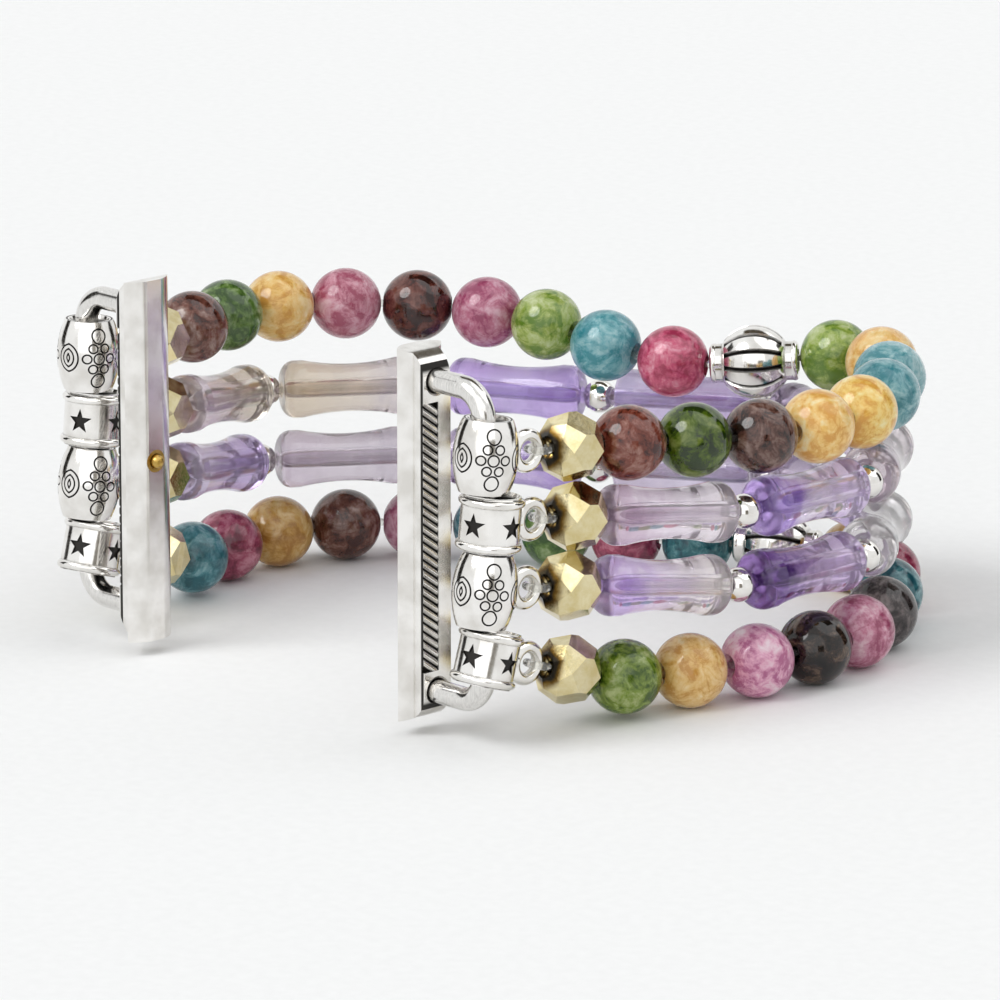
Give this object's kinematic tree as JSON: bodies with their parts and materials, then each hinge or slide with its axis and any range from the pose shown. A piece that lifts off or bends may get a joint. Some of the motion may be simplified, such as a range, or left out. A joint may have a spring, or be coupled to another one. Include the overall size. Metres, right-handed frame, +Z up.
{
  "type": "watch strap",
  "caption": "Beaded stretch strap for a smartwatch: strands of round and tubular stone beads, tied through ornamented silver bails to a slide-in adapter at each end.",
  "frame": {"origin": "middle of the standing strap, on the surface it stands on", "axes": "+Z up across the width of the strap, which stands on its edge; the opening for the watch is at -Y and the loop reaches to +Y; +X is the side of the nearer connector in the picture"},
  "size_m": [0.0672, 0.0651, 0.0334],
  "materials": {
    "antique_silver": "polished cast silver plate with black in the grooves",
    "gilt_stone": "polished gilt facets",
    "amethyst_pale": "polished translucent quartz, pale",
    "amethyst_deep": "polished translucent quartz, deep violet",
    "clear_cord": "clear elastic cord",
    "detent_brass": "turned brass",
    "spring_steel": "drawn wire",
    "tourmaline_brown": "polished cloudy tourmaline",
    "tourmaline_green": "polished cloudy tourmaline",
    "tourmaline_yellow": "polished cloudy tourmaline",
    "tourmaline_teal": "polished cloudy tourmaline",
    "tourmaline_crimson": "polished cloudy tourmaline",
    "tourmaline_pink": "polished cloudy tourmaline",
    "tourmaline_black": "polished cloudy tourmaline"
  },
  "bodies": {
    "strands": {"near_bail_1": "antique_silver", "near_bail_2": "antique_silver", "near_bail_3": "antique_silver", "near_bail_4": "antique_silver", "far_bail_1": "antique_silver", "far_bail_2": "antique_silver", "far_bail_3": "antique_silver", "far_bail_4": "antique_silver", "cord_1": "clear_cord", "cord_2": "clear_cord", "cord_3": "clear_cord", "cord_4": "clear_cord", "tube_2_1": "amethyst_pale", "tube_2_2": "amethyst_deep", "tube_2_3": "amethyst_pale", "tube_2_4": "amethyst_deep", "tube_2_5": "amethyst_pale", "tube_2_6": "amethyst_pale", "tube_2_7": "amethyst_deep", "tube_2_8": "amethyst_pale", "tube_3_1": "amethyst_pale", "tube_3_2": "amethyst_deep", "tube_3_3": "amethyst_pale", "tube_3_4": "amethyst_deep", "tube_3_5": "amethyst_pale", "tube_3_6": "amethyst_pale", "tube_3_7": "amethyst_deep", "tube_3_8": "amethyst_pale", "balls_2": "antique_silver", "balls_3": "antique_silver", "stones_brown": "tourmaline_brown", "stones_green": "tourmaline_green", "stones_yellow": "tourmaline_yellow", "stones_teal": "tourmaline_teal", "stones_crimson": "tourmaline_crimson", "stones_pink": "tourmaline_pink", "stones_black": "tourmaline_black"},
    "near_connector": {"near_lug": "antique_silver", "near_bow": "antique_silver", "near_spring": "spring_steel", "near_collar": "detent_brass"},
    "near_detent": {"near_plunger": "detent_brass"},
    "far_connector": {"far_lug": "antique_silver", "far_bow": "antique_silver", "far_spring": "spring_steel", "far_collar": "detent_brass"},
    "far_detent": {"far_plunger": "detent_brass"},
    "near_gold_1": {"near_gold_1": "gilt_stone"},
    "near_gold_2": {"near_gold_2": "gilt_stone"},
    "near_gold_3": {"near_gold_3": "gilt_stone"},
    "near_gold_4": {"near_gold_4": "gilt_stone"},
    "far_gold_1": {"far_gold_1": "gilt_stone"},
    "far_gold_2": {"far_gold_2": "gilt_stone"},
    "far_gold_3": {"far_gold_3": "gilt_stone"},
    "far_gold_4": {"far_gold_4": "gilt_stone"},
    "guru_1": {"guru_1": "antique_silver"},
    "guru_4": {"guru_4": "antique_silver"}
  },
  "joints": [
    {"name": "near_swivel", "type": "hinge", "parent": "strands", "child": "near_connector", "pos_m": [0.02558, -0.02986, 0.0173], "axis": [0, 0, 1], "range_deg": [-50, 120]},
    {"name": "far_swivel", "type": "hinge", "parent": "strands", "child": "far_connector", "pos_m": [-0.02435, -0.02986, 0.0173], "axis": [0, 0, 1], "range_deg": [-120, 50]},
    {"name": "near_detent_push", "type": "slide", "parent": "near_connector", "child": "near_detent", "axis": [1, 0, 0], "range_m": [0, 0.0006], "stiffness_N_per_m": 500},
    {"name": "far_detent_push", "type": "slide", "parent": "far_connector", "child": "far_detent", "axis": [-1, 0, 0], "range_m": [0, 0.0006], "stiffness_N_per_m": 500},
    {"name": "near_gold_1_spin", "type": "hinge", "parent": "strands", "child": "near_gold_1", "pos_m": [0.02589, -0.02026, 0.02443], "axis": [0.1038, 0.9905, -0.09], "continuous": true},
    {"name": "far_gold_1_spin", "type": "hinge", "parent": "strands", "child": "far_gold_1", "pos_m": [-0.02612, -0.02039, 0.02488], "axis": [0.2481, -0.9677, 0.0439], "continuous": true},
    {"name": "near_gold_2_spin", "type": "hinge", "parent": "strands", "child": "near_gold_2", "pos_m": [0.02594, -0.01979, 0.01838], "axis": [0.1445, 0.9831, -0.1126], "continuous": true},
    {"name": "far_gold_2_spin", "type": "hinge", "parent": "strands", "child": "far_gold_2", "pos_m": [-0.02623, -0.01996, 0.01838], "axis": [0.2362, -0.9652, 0.1125], "continuous": true},
    {"name": "near_gold_3_spin", "type": "hinge", "parent": "strands", "child": "near_gold_3", "pos_m": [0.02587, -0.02045, 0.01246], "axis": [0.1368, 0.9809, -0.1382], "continuous": true},
    {"name": "far_gold_3_spin", "type": "hinge", "parent": "strands", "child": "far_gold_3", "pos_m": [-0.02607, -0.0206, 0.01246], "axis": [0.2359, -0.9619, 0.138], "continuous": true},
    {"name": "near_gold_4_spin", "type": "hinge", "parent": "strands", "child": "near_gold_4", "pos_m": [0.02587, -0.02049, 0.00521], "axis": [0.0976, 0.9566, -0.2747], "continuous": true},
    {"name": "far_gold_4_spin", "type": "hinge", "parent": "strands", "child": "far_gold_4", "pos_m": [-0.02606, -0.02064, 0.00521], "axis": [0.2361, -0.9321, 0.2746], "continuous": true},
    {"name": "guru_1_spin", "type": "hinge", "parent": "strands", "child": "guru_1", "pos_m": [0.00563, 0.02235, 0.02111], "axis": [-0.765, -0.641, -0.0622], "continuous": true},
    {"name": "guru_4_spin", "type": "hinge", "parent": "strands", "child": "guru_4", "pos_m": [0.00466, 0.02658, 0.0032], "axis": [-0.8857, -0.4643, 0], "continuous": true}
  ]
}
